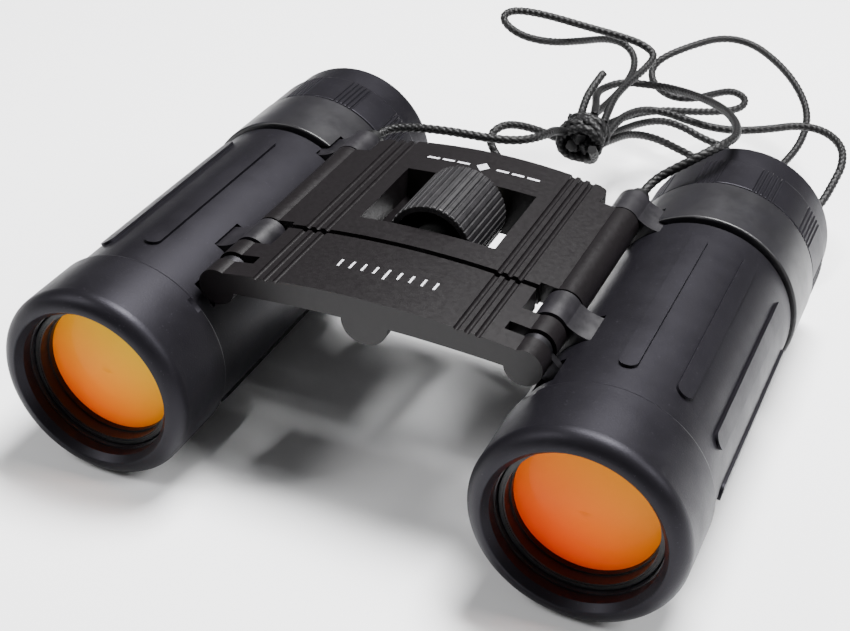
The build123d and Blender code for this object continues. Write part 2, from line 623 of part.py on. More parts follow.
def build_eyecup():
    """Rubber eyecup: groups of fine ridges at its front, and a plain lip that folds down."""
    ridge_back = EYECUP_FRONT + 9.1
    inner = RING_R + SEAT_FIT
    floor = EYECUP_FRONT + 0.1 + RING_LENGTH + 0.05
    cup = turned((inner, EYECUP_FRONT), (SLEEVE_R - 0.1, EYECUP_FRONT, 0.3), (SLEEVE_R - 0.1, ridge_back, 0.4),
                 (EYECUP_R, ridge_back + 0.5), (EYECUP_R, OVERALL_LENGTH, 1.4),
                 (EYECUP_R - 3.4, OVERALL_LENGTH, 1.2), (12.0, floor + 0.4), (12.0, floor), (inner, floor))
    cutters = []
    for group in range(RIDGE_GROUPS):
        for ridge in range(RIDGES_IN_GROUP + 1):
            angle = 20 + group * 360 / RIDGE_GROUPS + (ridge - RIDGES_IN_GROUP / 2) * 3.1
            turn = math.radians(angle)
            cutters.append(rod(0.32, EYECUP_FRONT - 1, ridge_back + 1, x=SLEEVE_R * math.sin(turn),
                               z=SLEEVE_R * math.cos(turn)))
    return on_barrel(cup - cutters)


# ---- neck cord ----
CORD_ROUTES = {
    "neck_cord_left": [
        (-25.3, 25.25, 30.2), (-25.1, 27.8, 30.5), (-22.9, 29.8, 31.0), (-19.2, 30.6, 31.4),
        (-15.2, 31.0, 31.7), (-10.9, 31.8, 31.6), (-5.0, 32.5, 31.4), (-0.1, 34.5, 31.2),
        (2.6, 40.0, 30.5), (2.0, 47.6, 28.2), (2.0, 53.8, 25.0),
    ],
    "neck_cord_right": [
        (25.3, 25.25, 30.2), (25.7, 27.8, 30.9), (27.2, 30.3, 32.3), (30.7, 32.1, 34.6),
        (33.8, 34.5, 36.4), (35.9, 38.0, 36.9), (37.0, 44.6, 35.9), (34.1, 56.1, 33.2),
        (28.7, 68.5, 29.7), (21.3, 80.0, 25.7), (13.5, 88.0, 22.7), (7.8, 90.6, 21.2),
        (2.6, 89.6, 21.2), (-0.3, 84.2, 21.2), (1.0, 76.2, 23.2), (3.6, 68.2, 25.2),
        (5.6, 60.5, 26.3),
    ],
    "neck_cord_upper_loop": [
        (7.8, 60.0, 25.4), (6.9, 66.2, 25.8), (6.2, 73.0, 25.8), (6.7, 80.9, 25.7),
        (8.0, 87.5, 26.2), (8.4, 93.2, 27.0), (5.1, 94.2, 28.5), (0.1, 93.4, 29.7),
        (-7.5, 92.5, 30.8), (-15.4, 92.4, 31.7), (-21.1, 91.5, 32.2), (-23.9, 89.7, 32.2),
        (-24.3, 87.1, 31.7), (-22.2, 85.0, 30.7), (-18.2, 84.7, 29.2), (-13.1, 88.0, 27.7),
        (-9.4, 96.0, 25.7), (-6.5, 105.9, 23.2), (-3.4, 109.9, 21.2), (-0.4, 108.4, 19.7),
        (1.5, 103.2, 18.7), (2.0, 95.2, 18.2), (2.2, 83.0, 19.2), (2.0, 71.3, 20.8),
        (2.5, 60.0, 23.2),
    ],
    "neck_cord_far_loop": [
        (8.7, 59.5, 23.2), (8.8, 65.2, 23.4), (9.4, 71.0, 23.0), (11.6, 75.6, 22.6),
        (15.8, 77.5, 22.0), (20.6, 76.6, 21.6), (25.6, 76.5, 21.1), (30.7, 78.3, 20.7),
        (36.3, 82.0, 20.7), (41.4, 86.6, 20.7), (46.8, 86.2, 20.7), (51.0, 81.9, 20.2),
        (52.4, 76.1, 19.2), (51.9, 72.6, 17.2), (51.0, 65.2, 15.2), (48.4, 59.6, 12.9),
        (43.5, 57.2, 10.2), (38.6, 59.5, 8.4), (35.2, 66.0, 7.6), (35.2, 75.5, 8.2),
        (38.3, 85.5, 9.7), (41.0, 96.0, 12.0), (40.3, 105.5, 14.4), (36.4, 113.0, 16.6),
        (30.6, 119.2, 18.8), (22.6, 124.4, 20.7), (15.9, 122.1, 21.7), (10.5, 115.0, 21.2),
        (5.9, 109.6, 19.7), (4.3, 107.2, 17.7), (5.4, 104.2, 16.2), (8.3, 101.7, 15.2),
        (12.0, 100.7, 14.7), (16.0, 103.6, 14.2), (18.6, 109.0, 13.7), (21.6, 113.5, 13.2),
        (25.0, 112.5, 12.6), (25.6, 108.2, 12.2), (22.5, 104.2, 12.2), (16.8, 100.0, 12.7),
        (10.1, 95.4, 13.7), (5.8, 87.0, 15.2), (3.8, 74.5, 17.7), (3.4, 60.0, 21.0),
    ],
    "neck_cord_low_loop": [
        (7.8, 59.6, 21.0), (8.8, 66.5, 19.6), (10.2, 73.8, 17.6), (13.8, 78.8, 15.2),
        (18.4, 80.9, 12.7), (23.0, 81.0, 11.2), (27.0, 81.0, 10.0), (29.6, 84.5, 9.2),
        (29.0, 89.5, 9.0), (25.2, 93.0, 9.4), (20.5, 93.2, 10.2), (16.0, 94.6, 11.2),
        (11.6, 93.9, 12.2), (8.2, 88.5, 13.3), (6.6, 79.5, 15.3), (5.6, 68.5, 18.0),
        (5.6, 59.8, 20.1),
    ],
    "neck_cord_front_tail": [
        (1.0, 56.8, 21.6), (-2.6, 58.2, 21.4), (-4.6, 59.0, 21.4), (-9.2, 59.8, 21.4),
        (-12.6, 58.8, 21.2), (-13.9, 55.6, 20.4), (-13.3, 53.8, 18.7), (-11.0, 53.0, 16.7),
    ],
    "neck_cord_rear_tail": [
        (3.0, 59.6, 25.4), (2.1, 64.5, 26.3), (1.9, 69.2, 27.7), (2.8, 74.0, 29.4),
    ],
}


def build_cord(points):
    """A round cord along straight runs joined by the largest tangent arcs the runs leave room for."""
    corners = [Vector(*point) for point in points]
    radii = []
    for before, here, after in zip(corners, corners[1:], corners[2:]):
        turn = (here - before).get_angle(after - here)
        run = min((here - before).length, (after - here).length)
        radii.append(0.45 * run / math.tan(math.radians(turn / 2)))
    path = FilletPolyline(*corners, radius=radii)
    section = Plane(origin=path @ 0, z_dir=path % 0) * Circle(CORD_R)
    return sweep(section, path=path), path, radii


def build_cord_knot():
    """The outer shape of the tight knot that ties the cord's two ends and gathers its loops."""
    x, y, z = KNOT_CENTRE
    half = KNOT_LENGTH / 2
    knot = turned((0, -half), (KNOT_R, -half, 3.0), (KNOT_R, half, 3.0), (0, half))
    return Pos(x, y, z) * knot


# ---- write every piece ----
def mirrored(shape):
    return mirror(shape, about=Plane.YZ)


def save(name, shape, place=Pos(0, -OVERALL_LENGTH / 2, -TABLE_Z)):
    """Moves a piece from the working frame to the kept one and writes it."""
    solids = (place * shape).solids()
    for solid in solids:
        solid.label = name
    whole = solids[0] if len(solids) == 1 else Compound(label=name, children=list(solids))
    export_step(whole, f"parts/{name}.step")


def main():
    os.makedirs("parts", exist_ok=True)
    save("rear_bridge_plate", build_rear_bridge_plate())
    save("front_bridge_plate", build_front_bridge_plate())
    save("focus_screw", build_focus_screw())
    save("focus_screw_pin", build_screw_pin())
    save("focus_wheel_grip", build_focus_wheel_grip())
    save("focus_nut", build_focus_nut())
    save("thrust_washers", build_thrust_washers())
    for name, side in (("left", -1), ("right", 1)):
        save(f"hinge_rod_{name}", build_hinge_rod(side))
        save(f"strap_socket_{name}", build_strap_socket(side))
    paired = {
        "barrel_shell": build_barrel_shell(),
        "armour_sleeve": build_armour_sleeve(),
        "front_cap": build_front_cap(),
        "rear_sleeve": build_rear_sleeve(),
        "half_prism": build_half_prism(),
        "roof_prism": build_roof_prism(),
        "prism_cage": build_prism_cage(),
        "prism_clip": build_prism_clip(),
        "field_stop": build_field_stop(),
        "objective_cell": build_objective_cell(),
        "objective_arm": build_objective_arm(),
        "objective_retainer": build_objective_retainer(),
        "objective_crown": build_objective_crown(),
        "objective_flint": build_objective_flint(),
        "ocular_tube": build_ocular_tube(),
        "field_lens": build_field_lens(),
        "eye_lens": build_eye_lens(),
        "eyepiece_ring": build_eyepiece_ring(),
        "eyecup": build_eyecup(),
    }
    for name, shape in paired.items():
        save(f"{name}_right", shape)
        save(f"{name}_left", mirrored(shape))
    save("neck_cord_knot", build_cord_knot(), Pos(0, 0, 0))
    for name, points in CORD_ROUTES.items():
        cord, path, radii = build_cord(points)
        area = math.pi * CORD_R ** 2
        print(name, "length", round(path.length, 1), "volume ratio", round(cord.volume / area / path.length, 4))
        print("  radii", [round(radius, 1) for radius in radii])
        save(name, cord, Pos(0, 0, 0))


main()
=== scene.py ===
import math

import bpy
import numpy as np
from mathutils import Matrix, Vector


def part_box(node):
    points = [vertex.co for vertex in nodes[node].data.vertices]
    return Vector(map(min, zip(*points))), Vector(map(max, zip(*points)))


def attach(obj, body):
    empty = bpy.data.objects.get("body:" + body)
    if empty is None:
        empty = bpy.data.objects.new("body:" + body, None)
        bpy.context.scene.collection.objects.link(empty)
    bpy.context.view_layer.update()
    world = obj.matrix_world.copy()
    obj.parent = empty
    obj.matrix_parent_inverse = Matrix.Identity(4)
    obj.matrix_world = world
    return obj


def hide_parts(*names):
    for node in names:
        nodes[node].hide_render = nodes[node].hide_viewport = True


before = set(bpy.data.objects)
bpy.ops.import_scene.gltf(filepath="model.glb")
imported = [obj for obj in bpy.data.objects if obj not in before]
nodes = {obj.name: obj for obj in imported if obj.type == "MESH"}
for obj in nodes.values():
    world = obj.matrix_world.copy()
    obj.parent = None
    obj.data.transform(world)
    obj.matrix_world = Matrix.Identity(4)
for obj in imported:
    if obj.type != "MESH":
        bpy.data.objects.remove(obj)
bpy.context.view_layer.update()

scene = bpy.context.scene
MM = 0.001


# ---- studio ----
# A pale sweep of paper under a soft overhead box light and two weaker side boxes, all white.
# The camera stands in front, to the right and above, at the distance of a hand-held look.
def linear(code):
    """An sRGB hex colour as linear red, green and blue, with full alpha."""
    shares = [int(code[start:start + 2], 16) / 255 for start in (1, 3, 5)]
    return (*[s / 12.92 if s <= 0.04045 else ((s + 0.055) / 1.055) ** 2.4 for s in shares], 1.0)


def add(tree, kind, operation=None, **inputs):
    """Adds a shader node. An input named by its place, as i0, or by its name takes a value or a link."""
    made = tree.nodes.new("ShaderNode" + kind)
    if operation:
        made.operation = operation
    for name, value in inputs.items():
        place = int(name[1:]) if name[1:].isdigit() else name.replace("_", " ")
        if isinstance(value, bpy.types.NodeSocket):
            tree.links.new(value, made.inputs[place])
        else:
            made.inputs[place].default_value = value
    return made


def material(name):
    """An empty material, its node tree, its Object coordinates and its finished Principled shader."""
    made = bpy.data.materials.new(name)
    made.use_nodes = True
    tree = made.node_tree
    tree.nodes.clear()
    shader = tree.nodes.new("ShaderNodeBsdfPrincipled")
    output = tree.nodes.new("ShaderNodeOutputMaterial")
    tree.links.new(shader.outputs[0], output.inputs[0])
    place = tree.nodes.new("ShaderNodeTexCoord").outputs["Object"]
    return made, tree, place, shader


def varied(tree, place, size, low, high, detail=4.0):
    """A value that drifts between low and high over patches of this real size."""
    noise = add(tree, "TexNoise", Vector=place, Scale=1 / size, Detail=detail, Roughness=0.6)
    spread = add(tree, "MapRange", Value=noise.outputs[0], i1=0.3, i2=0.7, i3=low, i4=high)
    return spread.outputs[0]


def set_inputs(tree, shader, **inputs):
    """Gives the shader's inputs their values or links."""
    for name, value in inputs.items():
        socket = shader.inputs[name.replace("_", " ")]
        if isinstance(value, bpy.types.NodeSocket):
            tree.links.new(value, socket)
        else:
            socket.default_value = value


floor_paper, tree, place, shader = material("floor_paper")
set_inputs(tree, shader, Base_Color=linear("#F1F1F2"), Roughness=varied(tree, place, 20 * MM, 0.75, 0.9))
floor_mesh = bpy.data.meshes.new("floor")
floor_mesh.from_pydata([(-3, -3, 0), (3, -3, 0), (3, 3, 0), (-3, 3, 0)], [], [(0, 1, 2, 3)])
floor_mesh.materials.append(floor_paper)
floor = bpy.data.objects.new("floor", floor_mesh)
scene.collection.objects.link(floor)

world = bpy.data.worlds.new("studio")
world.use_nodes = True
world.node_tree.nodes["Background"].inputs["Color"].default_value = (1.0, 1.0, 1.0, 1.0)
world.node_tree.nodes["Background"].inputs["Strength"].default_value = 0.17
scene.world = world


def box_light(name, location, target, width, height, power):
    """A rectangular soft light that faces its target."""
    lamp = bpy.data.lights.new(name, "AREA")
    lamp.shape = "RECTANGLE"
    lamp.size = width
    lamp.size_y = height
    lamp.energy = power
    holder = bpy.data.objects.new(name, lamp)
    holder.location = location
    holder.rotation_euler = (Vector(target) - Vector(location)).to_track_quat("-Z", "Y").to_euler()
    scene.collection.objects.link(holder)


box_light("overhead_box", (0.06, 0.18, 0.6), (0, 0.02, 0.02), 0.3, 0.2, 17.0)
box_light("right_box", (0.5, 0.05, 0.42), (0.03, 0, 0.02), 0.12, 0.3, 3.0)
box_light("left_box", (-0.45, -0.3, 0.5), (-0.03, 0, 0.02), 0.2, 0.3, 3.0)

lens = bpy.data.cameras.new("camera")
lens.lens = 64.88
lens.sensor_width = 36.0
lens.clip_start = 0.01
camera = bpy.data.objects.new("camera", lens)
camera.matrix_world = Matrix((
    (0.915087, -0.237006, 0.326258, 0.082511),
    (0.402593, 0.490527, -0.772854, -0.204091),
    (0.023133, 0.838577, 0.544291, 0.156149),
    (0.0, 0.0, 0.0, 1.0),
))
scene.collection.objects.link(camera)
scene.camera = camera


# ---- bridge plates ----
# Two mouldings in black ABS: the rear one holds the wheel and both hinge rods, the front one slides
# on the rods. Their tool was spark-eroded, which leaves a fine even grain with a warm grey sheen.
def grain(tree, place, size, height, detail=2.0):
    """A bump of soft grains of this real size and height, in metres."""
    noise = add(tree, "TexNoise", Vector=place, Scale=1 / size, Detail=detail, Roughness=0.6)
    bump = add(tree, "Bump", Height=noise.outputs[0], Distance=height, Strength=1.0)
    return bump.outputs[0]


def mixed(tree, factor, first, second):
    """Blends two colours; the factor is a value or a link."""
    blend = tree.nodes.new("ShaderNodeMix")
    blend.data_type = "RGBA"
    for socket, value in ((blend.inputs[0], factor), (blend.inputs[6], first), (blend.inputs[7], second)):
        if isinstance(value, bpy.types.NodeSocket):
            tree.links.new(value, socket)
        else:
            socket.default_value = value
    return blend.outputs[2]


def paint(made, *names):
    """Gives CAD nodes this material."""
    for name in names:
        nodes[name].data.materials.clear()
        nodes[name].data.materials.append(made)


bridge_abs, tree, place, shader = material("bridge_abs")
fine = grain(tree, place, 0.22 * MM, 0.018 * MM)
mottle = varied(tree, place, 0.6 * MM, 0.0, 1.0)
set_inputs(tree, shader,
           Base_Color=mixed(tree, mottle, linear("#090708"), linear("#0E0B0D")),
           Roughness=varied(tree, place, 0.8 * MM, 0.32, 0.4), Normal=fine, Specular_IOR_Level=0.22)
paint(bridge_abs, "rear_bridge_plate", "front_bridge_plate")

# Each plate carries a small pale print: a diamond between two rows of dashes on the rear one, and
# nine ticks in a row on the front one, the middle tick longer. The ink is thin and slightly worn.
pale_ink, tree, place, shader = material("pale_ink")
worn = varied(tree, place, 0.5 * MM, 0.0, 1.0)
set_inputs(tree, shader, Base_Color=mixed(tree, worn, linear("#C9C8CC"), linear("#A3A2A8")), Roughness=0.5,
           Normal=grain(tree, place, 0.15 * MM, 0.006 * MM))
plate_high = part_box("rear_bridge_plate")[1].z
plate_curve = 162.1 * MM
ink_rise = 0.03 * MM


def printed(name, shapes, body):
    """Flat ink shapes laid on the arched plate: z = top - (R - sqrt(R^2 - x^2)) + rise."""
    places, faces = [], []
    for shape in shapes:
        faces.append(tuple(range(len(places), len(places) + len(shape))))
        for x, y in shape:
            drop = plate_curve - math.sqrt(plate_curve ** 2 - x ** 2)
            places.append((x, y, plate_high - drop + ink_rise))
    mesh = bpy.data.meshes.new(name)
    mesh.from_pydata(places, [], faces)
    mesh.materials.append(pale_ink)
    piece = bpy.data.objects.new(name, mesh)
    scene.collection.objects.link(piece)
    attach(piece, body)


def bar(x, y, width, height):
    """The corners of an upright rectangle about its centre, in metres from millimetres."""
    corners = ((-1, -1), (1, -1), (1, 1), (-1, 1))
    return [((x + i * width / 2) * MM, (y + j * height / 2) * MM) for i, j in corners]


print_rear = [[(0.0, 0.0137), (0.0012, 0.0152), (0.0, 0.0167), (-0.0012, 0.0152)]]
print_rear += [bar(x, 15.2, 2.2, 0.55) for x in (-9.2, -6.4, -3.6, 3.6, 6.4, 9.2)]
printed("rear_print", print_rear, "bridge")
print_front = [bar(2.0 * step, -23.6, 0.38, 2.0) for step in range(-4, 5) if step]
print_front.append(bar(0.0, -24.05, 0.38, 2.9))
printed("front_print", print_front, "front_bridge")


# ---- hinge rods, sockets and lead screw ----
# Oiled dark steel rods with blackened turned sockets on their rear ends, and the bright steel lead
# screw, whose end shows in the mouth of the wheel.
bright_steel, tree, place, shader = material("bright_steel")
turned = add(tree, "Mapping", Vector=place, Scale=(1.0, 40.0, 1.0)).outputs[0]
set_inputs(tree, shader, Base_Color=linear("#B9B9BC"), Metallic=1.0,
           Roughness=varied(tree, turned, 1.5 * MM, 0.22, 0.38),
           Normal=grain(tree, turned, 2 * MM, 0.004 * MM))
paint(bright_steel, "focus_screw", "focus_screw_pin", "prism_clip_left", "prism_clip_right")

dark_steel, tree, place, shader = material("dark_steel")
set_inputs(tree, shader, Base_Color=linear("#3A393C"), Metallic=1.0,
           Roughness=varied(tree, place, 1 * MM, 0.3, 0.45), Normal=grain(tree, place, 0.3 * MM, 0.004 * MM))
paint(dark_steel, "hinge_rod_left", "hinge_rod_right", "objective_arm_left", "objective_arm_right")

black_metal, tree, place, shader = material("black_metal")
set_inputs(tree, shader, Base_Color=linear("#0A0A0B"), Specular_IOR_Level=0.3,
           Roughness=varied(tree, place, 1.2 * MM, 0.35, 0.5),
           Normal=grain(tree, place, 0.15 * MM, 0.006 * MM))
paint(black_metal, "strap_socket_left", "strap_socket_right", "objective_cell_left", "objective_cell_right",
      "objective_retainer_left", "objective_retainer_right")


# ---- focus wheel ----
# A ridged rubber sleeve over a moulded hub. The rubber is a little duller than the armour, and
# fingers have polished the tops of its ridges.
wheel_rubber, tree, place, shader = material("wheel_rubber")
set_inputs(tree, shader, Base_Color=mixed(tree, varied(tree, place, 2 * MM, 0.0, 1.0), linear("#0B0A0C"),
                                          linear("#131114")), Specular_IOR_Level=0.3,
           Roughness=varied(tree, place, 1 * MM, 0.42, 0.58), Normal=grain(tree, place, 0.12 * MM, 0.01 * MM))
paint(wheel_rubber, "focus_wheel_grip")

inner_black, tree, place, shader = material("inner_black")
set_inputs(tree, shader, Base_Color=linear("#0B0B0C"), Roughness=varied(tree, place, 1 * MM, 0.6, 0.8),
           Normal=grain(tree, place, 0.2 * MM, 0.01 * MM))
paint(inner_black, "focus_nut", "prism_cage_left", "prism_cage_right", "field_stop_left", "field_stop_right")

nylon, tree, place, shader = material("nylon")
set_inputs(tree, shader, Base_Color=linear("#CFCABC"), Roughness=0.45, Subsurface_Weight=0.1,
           Normal=grain(tree, place, 0.3 * MM, 0.004 * MM))
paint(nylon, "thrust_washers")


# ---- barrel shells and rear sleeves ----
# Glass-filled ABS. The shell shows at the hinge lugs, which are handled and a little glossier; the
# rear sleeve is the smoothest part of the barrel.
shell_abs, tree, place, shader = material("shell_abs")
set_inputs(tree, shader, Base_Color=mixed(tree, varied(tree, place, 4 * MM, 0.0, 1.0), linear("#100F12"),
                                          linear("#171519")), Specular_IOR_Level=0.5,
           Roughness=varied(tree, place, 2 * MM, 0.3, 0.4), Normal=grain(tree, place, 0.25 * MM, 0.012 * MM))
paint(shell_abs, "barrel_shell_left", "barrel_shell_right")

sleeve_abs, tree, place, shader = material("sleeve_abs")
set_inputs(tree, shader, Base_Color=mixed(tree, varied(tree, place, 8 * MM, 0.0, 1.0), linear("#0E0D10"),
                                          linear("#141317")), Specular_IOR_Level=0.35,
           Roughness=varied(tree, place, 5 * MM, 0.34, 0.44), Normal=grain(tree, place, 0.2 * MM, 0.012 * MM))
paint(sleeve_abs, "rear_sleeve_left", "rear_sleeve_right", "eyepiece_ring_left", "eyepiece_ring_right",
      "ocular_tube_left", "ocular_tube_right")


# ---- rubber armour, front caps and eyecups ----
# Soft black rubber with a faint violet bloom. It is moulded in a lightly blasted tool, so its
# highlights are broad and soft, and it carries a little fine dust.
armour_rubber, tree, place, shader = material("armour_rubber")
bloom = varied(tree, place, 14 * MM, 0.0, 1.0)
specks = add(tree, "TexNoise", Vector=place, Scale=1 / (0.35 * MM), Detail=1.0).outputs[0]
dust = add(tree, "MapRange", Value=specks, i1=0.71, i2=0.76, i3=0.0, i4=0.35).outputs[0]
tint = mixed(tree, bloom, linear("#070608"), linear("#0B0A0D"))
set_inputs(tree, shader, Base_Color=mixed(tree, dust, tint, linear("#37353B")),
           Roughness=varied(tree, place, 9 * MM, 0.4, 0.52),
           Normal=grain(tree, place, 0.3 * MM, 0.02 * MM, detail=4.0),
           Specular_IOR_Level=0.18, Specular_Tint=linear("#EAE6F8"),
           Sheen_Weight=0.01, Sheen_Roughness=0.5, Sheen_Tint=linear("#A9A2C0"))
paint(armour_rubber, "armour_sleeve_left", "armour_sleeve_right", "front_cap_left", "front_cap_right",
      "eyecup_left", "eyecup_right")


# ---- objectives and eyepieces ----
# The front element carries a many-layered coating that throws back amber light, paler where it
# faces up and redder below. That reflection is painted here: a fixed amber gradient in the base
# colour and a faint painted glow of the same colours. The eye lenses have a thin violet coating.
def amber_painted_reflection_lens(side, high, low):
    """Coated glass with a painted reflection: its colour runs across the lens, from low at the bottom left to
    high at the top, and glows faintly in the same colours as painted light.
    """
    made, tree, place, shader = material("amber_painted_reflection_glass_" + side)
    low_corner, high_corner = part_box("objective_crown_" + side)
    middle = (low_corner + high_corner) / 2
    reach = (high_corner.x - low_corner.x) / 2
    parts = add(tree, "SeparateXYZ", Vector=place)
    right = add(tree, "Math", "SUBTRACT", i0=parts.outputs[0], i1=middle.x)
    up = add(tree, "Math", "SUBTRACT", i0=parts.outputs[2], i1=middle.z)
    leaning = add(tree, "Math", "MULTIPLY", i0=right.outputs[0], i1=0.55)
    rise = add(tree, "Math", "MULTIPLY", i0=up.outputs[0], i1=0.83)
    across = add(tree, "Math", "ADD", i0=leaning.outputs[0], i1=rise.outputs[0])
    share = add(tree, "MapRange", Value=across.outputs[0], i1=-0.9 * reach, i2=0.9 * reach, i3=0.0, i4=1.0)
    # Painted reflection in the base colour, and the same gradient as emission: a painted glow, though the
    # lens is no lamp.
    set_inputs(tree, shader, Base_Color=mixed(tree, share.outputs[0], linear(low), linear(high)),
               Roughness=0.5, Specular_IOR_Level=0.05,
               Coat_Weight=0.06, Coat_Roughness=0.03, Emission_Strength=0.3,
               Emission_Color=mixed(tree, share.outputs[0], linear(low), linear(high)))
    return made


paint(amber_painted_reflection_lens("left", "#B49600", "#DE5000"), "objective_crown_left")
paint(amber_painted_reflection_lens("right", "#BA7400", "#D63400"), "objective_crown_right")

clear_glass, tree, place, shader = material("clear_glass")
set_inputs(tree, shader, Base_Color=linear("#EEF2EE"), Roughness=0.02, Transmission_Weight=1.0, IOR=1.52)
paint(clear_glass, "objective_flint_left", "objective_flint_right", "half_prism_left", "half_prism_right",
      "roof_prism_left", "roof_prism_right", "field_lens_left", "field_lens_right")

violet_glass, tree, place, shader = material("violet_glass")
set_inputs(tree, shader, Base_Color=linear("#16101F"), Roughness=0.03, IOR=1.7, Coat_Weight=1.0,
           Coat_Tint=linear("#B9A0E8"), Thin_Film_Thickness=310.0, Thin_Film_IOR=1.38)
paint(violet_glass, "eye_lens_left", "eye_lens_right")


# ---- neck cord ----
# One round black nylon cord, braided from eight flat plaits and 1.7 mm thick. Each end leaves a
# socket on a hinge rod, and the rest is gathered in loose stiff loops behind the bridge by a knot.
# The braid's surface is two families of plaits that cross over and under each other.
CORD_R = 0.85 * MM
PLAIT_PITCH = 5.2 * MM
cord_nylon, tree, place, shader = material("cord_nylon")
weave = tree.nodes.new("ShaderNodeUVMap").outputs[0]
fibre_place = add(tree, "Mapping", Vector=weave, Scale=(9.0, 1.2, 1.0)).outputs[0]
fibres = add(tree, "TexNoise", Vector=fibre_place, Scale=3.0, Detail=3.0).outputs[0]
fibre_bump = add(tree, "Bump", Height=fibres, Distance=0.03 * MM, Strength=1.0).outputs[0]
set_inputs(tree, shader, Base_Color=mixed(tree, fibres, linear("#020202"), linear("#0B0A0C")),
           Roughness=0.5, Normal=fibre_bump, Specular_IOR_Level=0.22)

cord_routes = {
    "neck_cord_left": [
        (-0.0253, 0.02525, 0.0302), (-0.0251, 0.0278, 0.0305), (-0.0229, 0.0298, 0.031),
        (-0.0192, 0.0306, 0.0314), (-0.0152, 0.031, 0.0317), (-0.0109, 0.0318, 0.0316),
        (-0.005, 0.0325, 0.0314), (-0.0001, 0.0345, 0.0312), (0.0026, 0.04, 0.0305),
        (0.002, 0.0476, 0.0282), (0.002, 0.0538, 0.025),
    ],
    "neck_cord_right": [
        (0.0253, 0.02525, 0.0302), (0.0257, 0.0278, 0.0309), (0.0272, 0.0303, 0.0323),
        (0.0307, 0.0321, 0.0346), (0.0338, 0.0345, 0.0364), (0.0359, 0.038, 0.0369),
        (0.037, 0.0446, 0.0359), (0.0341, 0.0561, 0.0332), (0.0287, 0.0685, 0.0297),
        (0.0213, 0.08, 0.0257), (0.0135, 0.088, 0.0227), (0.0078, 0.0906, 0.0212),
        (0.0026, 0.0896, 0.0212), (-0.0003, 0.0842, 0.0212), (0.001, 0.0762, 0.0232),
        (0.0036, 0.0682, 0.0252), (0.0056, 0.0605, 0.0263),
    ],
    "neck_cord_upper_loop": [
        (0.0078, 0.06, 0.0254), (0.0069, 0.0662, 0.0258), (0.0062, 0.073, 0.0258),
        (0.0067, 0.0809, 0.0257), (0.008, 0.0875, 0.0262), (0.0084, 0.0932, 0.027),
        (0.0051, 0.0942, 0.0285), (0.0001, 0.0934, 0.0297), (-0.0075, 0.0925, 0.0308),
        (-0.0154, 0.0924, 0.0317), (-0.0211, 0.0915, 0.0322), (-0.0239, 0.0897, 0.0322),
        (-0.0243, 0.0871, 0.0317), (-0.0222, 0.085, 0.0307), (-0.0182, 0.0847, 0.0292),
        (-0.0131, 0.088, 0.0277), (-0.0094, 0.096, 0.0257), (-0.0065, 0.1059, 0.0232),
        (-0.0034, 0.1099, 0.0212), (-0.0004, 0.1084, 0.0197), (0.0015, 0.1032, 0.0187),
        (0.002, 0.0952, 0.0182), (0.0022, 0.083, 0.0192), (0.002, 0.0713, 0.0208),
        (0.0025, 0.06, 0.0232),
    ],
    "neck_cord_far_loop": [
        (0.0087, 0.0595, 0.0232), (0.0088, 0.0652, 0.0234), (0.0094, 0.071, 0.023),
        (0.0116, 0.0756, 0.0226), (0.0158, 0.0775, 0.022), (0.0206, 0.0766, 0.0216),
        (0.0256, 0.0765, 0.0211), (0.0307, 0.0783, 0.0207), (0.0363, 0.082, 0.0207),
        (0.0414, 0.0866, 0.0207), (0.0468, 0.0862, 0.0207), (0.051, 0.0819, 0.0202),
        (0.0524, 0.0761, 0.0192), (0.0519, 0.0726, 0.0172), (0.051, 0.0652, 0.0152),
        (0.0484, 0.0596, 0.0129), (0.0435, 0.0572, 0.0102), (0.0386, 0.0595, 0.0084),
        (0.0352, 0.066, 0.0076), (0.0352, 0.0755, 0.0082), (0.0383, 0.0855, 0.0097),
        (0.041, 0.096, 0.012), (0.0403, 0.1055, 0.0144), (0.0364, 0.113, 0.0166),
        (0.0306, 0.1192, 0.0188), (0.0226, 0.1244, 0.0207), (0.0159, 0.1221, 0.0217),
        (0.0105, 0.115, 0.0212), (0.0059, 0.1096, 0.0197), (0.0043, 0.1072, 0.0177),
        (0.0054, 0.1042, 0.0162), (0.0083, 0.1017, 0.0152), (0.012, 0.1007, 0.0147),
        (0.016, 0.1036, 0.0142), (0.0186, 0.109, 0.0137), (0.0216, 0.1135, 0.0132),
        (0.025, 0.1125, 0.0126), (0.0256, 0.1082, 0.0122), (0.0225, 0.1042, 0.0122),
        (0.0168, 0.1, 0.0127), (0.0101, 0.0954, 0.0137), (0.0058, 0.087, 0.0152),
        (0.0038, 0.0745, 0.0177), (0.0034, 0.06, 0.021),
    ],
    "neck_cord_low_loop": [
        (0.0078, 0.0596, 0.021), (0.0088, 0.0665, 0.0196), (0.0102, 0.0738, 0.0176),
        (0.0138, 0.0788, 0.0152), (0.0184, 0.0809, 0.0127), (0.023, 0.081, 0.0112),
        (0.027, 0.081, 0.01), (0.0296, 0.0845, 0.0092), (0.029, 0.0895, 0.009),
        (0.0252, 0.093, 0.0094), (0.0205, 0.0932, 0.0102), (0.016, 0.0946, 0.0112),
        (0.0116, 0.0939, 0.0122), (0.0082, 0.0885, 0.0133), (0.0066, 0.0795, 0.0153),
        (0.0056, 0.0685, 0.018), (0.0056, 0.0598, 0.0201),
    ],
    "neck_cord_front_tail": [
        (0.001, 0.0568, 0.0216), (-0.0026, 0.0582, 0.0214), (-0.0046, 0.059, 0.0214),
        (-0.0092, 0.0598, 0.0214), (-0.0126, 0.0588, 0.0212), (-0.0139, 0.0556, 0.0204),
        (-0.0133, 0.0538, 0.0187), (-0.011, 0.053, 0.0167),
    ],
    "neck_cord_rear_tail": [
        (0.003, 0.0596, 0.0254), (0.0021, 0.0645, 0.0263), (0.0019, 0.0692, 0.0277),
        (0.0028, 0.074, 0.0294),
    ],
}


